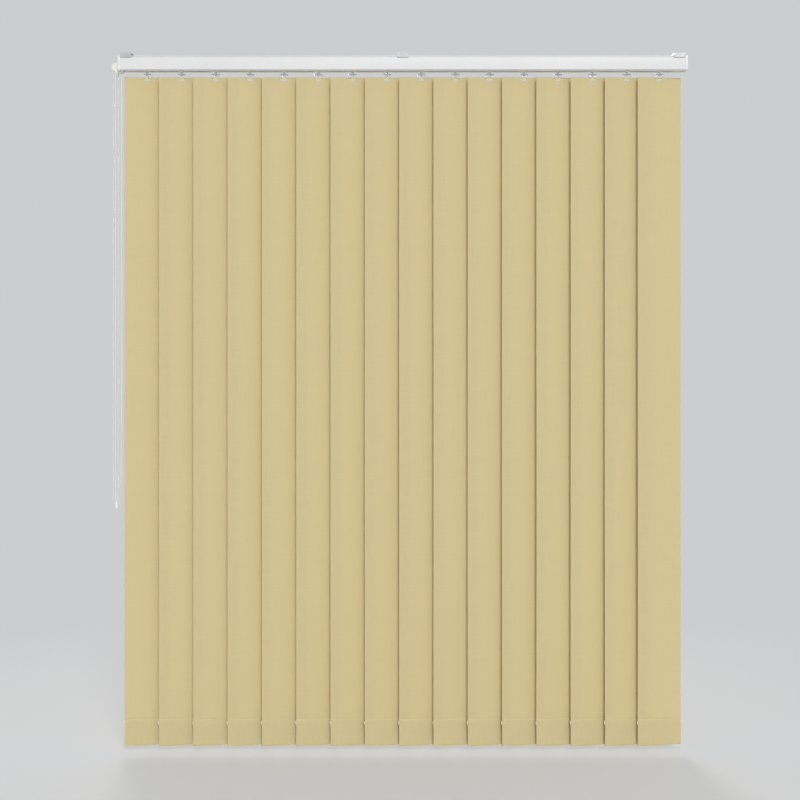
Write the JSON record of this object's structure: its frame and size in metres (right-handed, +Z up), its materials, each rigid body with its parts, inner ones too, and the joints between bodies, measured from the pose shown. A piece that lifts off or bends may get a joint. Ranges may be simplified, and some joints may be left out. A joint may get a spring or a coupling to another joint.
{
  "type": "vertical blind",
  "caption": "Vertical blind: cloth louvres on turning hangers travel and tilt under a white headrail with top brackets, tilt chain, draw cord and cord weight.",
  "frame": {"origin": "middle of the plane that the three top brackets are screwed to, half-way along the headrail", "axes": "+X along the headrail to the right seen from the room, -Y towards the room, +Z up"},
  "size_m": [1.1417, 0.0436, 1.372],
  "materials": {
    "rail_paint": "satin white powder coat",
    "bracket_steel": "zinc-plated sheet",
    "rod_aluminium": "drawn bar",
    "moulded_white": "moulded, low gloss",
    "louvre_cloth": "plain close weave",
    "chain_white": "smooth",
    "cord_white": "braided"
  },
  "bodies": {
    "headrail_frame": {"headrail": "rail_paint", "top_brackets": "bracket_steel", "control_end_cap": "moulded_white", "far_end_cap": "moulded_white", "wheel_cover": "moulded_white", "carrier_01": "moulded_white", "control_chain": "chain_white", "hanging_cord": "cord_white", "cord_weight": "moulded_white", "rail_cord": "cord_white"},
    "carrier_02_body": {"carrier_02": "moulded_white"},
    "carrier_03_body": {"carrier_03": "moulded_white"},
    "carrier_04_body": {"carrier_04": "moulded_white"},
    "carrier_05_body": {"carrier_05": "moulded_white"},
    "carrier_06_body": {"carrier_06": "moulded_white"},
    "carrier_07_body": {"carrier_07": "moulded_white"},
    "carrier_08_body": {"carrier_08": "moulded_white"},
    "carrier_09_body": {"carrier_09": "moulded_white"},
    "carrier_10_body": {"carrier_10": "moulded_white"},
    "carrier_11_body": {"carrier_11": "moulded_white"},
    "carrier_12_body": {"carrier_12": "moulded_white"},
    "carrier_13_body": {"carrier_13": "moulded_white"},
    "carrier_14_body": {"carrier_14": "moulded_white"},
    "carrier_15_body": {"carrier_15": "moulded_white"},
    "carrier_16_body": {"carrier_16": "moulded_white"},
    "louvre_01_body": {"hanger_01": "moulded_white", "louvre_01": "louvre_cloth"},
    "louvre_02_body": {"hanger_02": "moulded_white", "louvre_02": "louvre_cloth"},
    "louvre_03_body": {"hanger_03": "moulded_white", "louvre_03": "louvre_cloth"},
    "louvre_04_body": {"hanger_04": "moulded_white", "louvre_04": "louvre_cloth"},
    "louvre_05_body": {"hanger_05": "moulded_white", "louvre_05": "louvre_cloth"},
    "louvre_06_body": {"hanger_06": "moulded_white", "louvre_06": "louvre_cloth"},
    "louvre_07_body": {"hanger_07": "moulded_white", "louvre_07": "louvre_cloth"},
    "louvre_08_body": {"hanger_08": "moulded_white", "louvre_08": "louvre_cloth"},
    "louvre_09_body": {"hanger_09": "moulded_white", "louvre_09": "louvre_cloth"},
    "louvre_10_body": {"hanger_10": "moulded_white", "louvre_10": "louvre_cloth"},
    "louvre_11_body": {"hanger_11": "moulded_white", "louvre_11": "louvre_cloth"},
    "louvre_12_body": {"hanger_12": "moulded_white", "louvre_12": "louvre_cloth"},
    "louvre_13_body": {"hanger_13": "moulded_white", "louvre_13": "louvre_cloth"},
    "louvre_14_body": {"hanger_14": "moulded_white", "louvre_14": "louvre_cloth"},
    "louvre_15_body": {"hanger_15": "moulded_white", "louvre_15": "louvre_cloth"},
    "louvre_16_body": {"hanger_16": "moulded_white", "louvre_16": "louvre_cloth"},
    "tilt_rod_body": {"tilt_rod": "rod_aluminium"},
    "chain_wheel_body": {"chain_wheel": "moulded_white"},
    "cord_pulley_body": {"cord_pulley": "moulded_white"}
  },
  "joints": [
    {"name": "lead_slide", "type": "slide", "parent": "headrail_frame", "child": "carrier_16_body", "axis": [1, 0, 0], "range_m": [-0.717, 0]},
    {"name": "carrier_02_slide", "type": "slide", "parent": "headrail_frame", "child": "carrier_02_body", "axis": [1, 0, 0], "range_m": [-0.0481, 0]},
    {"name": "carrier_03_slide", "type": "slide", "parent": "headrail_frame", "child": "carrier_03_body", "axis": [1, 0, 0], "range_m": [-0.0961, 0]},
    {"name": "carrier_04_slide", "type": "slide", "parent": "headrail_frame", "child": "carrier_04_body", "axis": [1, 0, 0], "range_m": [-0.1441, 0]},
    {"name": "carrier_05_slide", "type": "slide", "parent": "headrail_frame", "child": "carrier_05_body", "axis": [1, 0, 0], "range_m": [-0.1921, 0]},
    {"name": "carrier_06_slide", "type": "slide", "parent": "headrail_frame", "child": "carrier_06_body", "axis": [1, 0, 0], "range_m": [-0.2401, 0]},
    {"name": "carrier_07_slide", "type": "slide", "parent": "headrail_frame", "child": "carrier_07_body", "axis": [1, 0, 0], "range_m": [-0.2881, 0]},
    {"name": "carrier_08_slide", "type": "slide", "parent": "headrail_frame", "child": "carrier_08_body", "axis": [1, 0, 0], "range_m": [-0.3361, 0]},
    {"name": "carrier_09_slide", "type": "slide", "parent": "headrail_frame", "child": "carrier_09_body", "axis": [1, 0, 0], "range_m": [-0.3841, 0]},
    {"name": "carrier_10_slide", "type": "slide", "parent": "headrail_frame", "child": "carrier_10_body", "axis": [1, 0, 0], "range_m": [-0.4321, 0]},
    {"name": "carrier_11_slide", "type": "slide", "parent": "headrail_frame", "child": "carrier_11_body", "axis": [1, 0, 0], "range_m": [-0.4801, 0]},
    {"name": "carrier_12_slide", "type": "slide", "parent": "headrail_frame", "child": "carrier_12_body", "axis": [1, 0, 0], "range_m": [-0.5281, 0]},
    {"name": "carrier_13_slide", "type": "slide", "parent": "headrail_frame", "child": "carrier_13_body", "axis": [1, 0, 0], "range_m": [-0.5761, 0]},
    {"name": "carrier_14_slide", "type": "slide", "parent": "headrail_frame", "child": "carrier_14_body", "axis": [1, 0, 0], "range_m": [-0.6241, 0]},
    {"name": "carrier_15_slide", "type": "slide", "parent": "headrail_frame", "child": "carrier_15_body", "axis": [1, 0, 0], "range_m": [-0.6721, 0]},
    {"name": "louvre_tilt", "type": "hinge", "parent": "headrail_frame", "child": "louvre_01_body", "pos_m": [-0.5075, 0, -0.04], "axis": [0, 0, 1], "range_deg": [0, 160]},
    {"name": "louvre_02_tilt", "type": "hinge", "parent": "carrier_02_body", "child": "louvre_02_body", "pos_m": [-0.4395, 0, -0.04], "axis": [0, 0, 1], "range_deg": [0, 160]},
    {"name": "louvre_03_tilt", "type": "hinge", "parent": "carrier_03_body", "child": "louvre_03_body", "pos_m": [-0.3715, 0, -0.04], "axis": [0, 0, 1], "range_deg": [0, 160]},
    {"name": "louvre_04_tilt", "type": "hinge", "parent": "carrier_04_body", "child": "louvre_04_body", "pos_m": [-0.3035, 0, -0.04], "axis": [0, 0, 1], "range_deg": [0, 160]},
    {"name": "louvre_05_tilt", "type": "hinge", "parent": "carrier_05_body", "child": "louvre_05_body", "pos_m": [-0.2355, 0, -0.04], "axis": [0, 0, 1], "range_deg": [0, 160]},
    {"name": "louvre_06_tilt", "type": "hinge", "parent": "carrier_06_body", "child": "louvre_06_body", "pos_m": [-0.1675, 0, -0.04], "axis": [0, 0, 1], "range_deg": [0, 160]},
    {"name": "louvre_07_tilt", "type": "hinge", "parent": "carrier_07_body", "child": "louvre_07_body", "pos_m": [-0.0995, 0, -0.04], "axis": [0, 0, 1], "range_deg": [0, 160]},
    {"name": "louvre_08_tilt", "type": "hinge", "parent": "carrier_08_body", "child": "louvre_08_body", "pos_m": [-0.0315, 0, -0.04], "axis": [0, 0, 1], "range_deg": [0, 160]},
    {"name": "louvre_09_tilt", "type": "hinge", "parent": "carrier_09_body", "child": "louvre_09_body", "pos_m": [0.0365, 0, -0.04], "axis": [0, 0, 1], "range_deg": [0, 160]},
    {"name": "louvre_10_tilt", "type": "hinge", "parent": "carrier_10_body", "child": "louvre_10_body", "pos_m": [0.1045, 0, -0.04], "axis": [0, 0, 1], "range_deg": [0, 160]},
    {"name": "louvre_11_tilt", "type": "hinge", "parent": "carrier_11_body", "child": "louvre_11_body", "pos_m": [0.1725, 0, -0.04], "axis": [0, 0, 1], "range_deg": [0, 160]},
    {"name": "louvre_12_tilt", "type": "hinge", "parent": "carrier_12_body", "child": "louvre_12_body", "pos_m": [0.2405, 0, -0.04], "axis": [0, 0, 1], "range_deg": [0, 160]},
    {"name": "louvre_13_tilt", "type": "hinge", "parent": "carrier_13_body", "child": "louvre_13_body", "pos_m": [0.3085, 0, -0.04], "axis": [0, 0, 1], "range_deg": [0, 160]},
    {"name": "louvre_14_tilt", "type": "hinge", "parent": "carrier_14_body", "child": "louvre_14_body", "pos_m": [0.3765, 0, -0.04], "axis": [0, 0, 1], "range_deg": [0, 160]},
    {"name": "louvre_15_tilt", "type": "hinge", "parent": "carrier_15_body", "child": "louvre_15_body", "pos_m": [0.4445, 0, -0.04], "axis": [0, 0, 1], "range_deg": [0, 160]},
    {"name": "louvre_16_tilt", "type": "hinge", "parent": "carrier_16_body", "child": "louvre_16_body", "pos_m": [0.5095, 0, -0.04], "axis": [0, 0, 1], "range_deg": [0, 160]},
    {"name": "tilt_rod_turn", "type": "hinge", "parent": "headrail_frame", "child": "tilt_rod_body", "pos_m": [0, 0, -0.026], "axis": [1, 0, 0], "range_deg": [0, 1281]},
    {"name": "chain_wheel_turn", "type": "hinge", "parent": "headrail_frame", "child": "chain_wheel_body", "pos_m": [-0.5704, 0.002, -0.026], "axis": [0, 1, 0], "range_deg": [-1281, 0]},
    {"name": "cord_pulley_turn", "type": "hinge", "parent": "headrail_frame", "child": "cord_pulley_body", "pos_m": [0.548, 0, -0.017], "axis": [0, 0, 1], "range_deg": [-5015, 0]}
  ],
  "couplings": [
    {"joint": "carrier_02_slide", "follows": "lead_slide", "ratio": 0.066946},
    {"joint": "carrier_03_slide", "follows": "lead_slide", "ratio": 0.13389},
    {"joint": "carrier_04_slide", "follows": "lead_slide", "ratio": 0.20084},
    {"joint": "carrier_05_slide", "follows": "lead_slide", "ratio": 0.26778},
    {"joint": "carrier_06_slide", "follows": "lead_slide", "ratio": 0.33473},
    {"joint": "carrier_07_slide", "follows": "lead_slide", "ratio": 0.40167},
    {"joint": "carrier_08_slide", "follows": "lead_slide", "ratio": 0.46862},
    {"joint": "carrier_09_slide", "follows": "lead_slide", "ratio": 0.53556},
    {"joint": "carrier_10_slide", "follows": "lead_slide", "ratio": 0.60251},
    {"joint": "carrier_11_slide", "follows": "lead_slide", "ratio": 0.66946},
    {"joint": "carrier_12_slide", "follows": "lead_slide", "ratio": 0.7364},
    {"joint": "carrier_13_slide", "follows": "lead_slide", "ratio": 0.80335},
    {"joint": "carrier_14_slide", "follows": "lead_slide", "ratio": 0.87029},
    {"joint": "carrier_15_slide", "follows": "lead_slide", "ratio": 0.93724},
    {"joint": "louvre_02_tilt", "follows": "louvre_tilt", "ratio": 1},
    {"joint": "louvre_03_tilt", "follows": "louvre_tilt", "ratio": 1},
    {"joint": "louvre_04_tilt", "follows": "louvre_tilt", "ratio": 1},
    {"joint": "louvre_05_tilt", "follows": "louvre_tilt", "ratio": 1},
    {"joint": "louvre_06_tilt", "follows": "louvre_tilt", "ratio": 1},
    {"joint": "louvre_07_tilt", "follows": "louvre_tilt", "ratio": 1},
    {"joint": "louvre_08_tilt", "follows": "louvre_tilt", "ratio": 1},
    {"joint": "louvre_09_tilt", "follows": "louvre_tilt", "ratio": 1},
    {"joint": "louvre_10_tilt", "follows": "louvre_tilt", "ratio": 1},
    {"joint": "louvre_11_tilt", "follows": "louvre_tilt", "ratio": 1},
    {"joint": "louvre_12_tilt", "follows": "louvre_tilt", "ratio": 1},
    {"joint": "louvre_13_tilt", "follows": "louvre_tilt", "ratio": 1},
    {"joint": "louvre_14_tilt", "follows": "louvre_tilt", "ratio": 1},
    {"joint": "louvre_15_tilt", "follows": "louvre_tilt", "ratio": 1},
    {"joint": "louvre_16_tilt", "follows": "louvre_tilt", "ratio": 1},
    {"joint": "tilt_rod_turn", "follows": "louvre_tilt", "ratio": 8},
    {"joint": "chain_wheel_turn", "follows": "louvre_tilt", "ratio": -8},
    {"joint": "cord_pulley_turn", "follows": "lead_slide", "rad_per_m": 121.95}
  ]
}
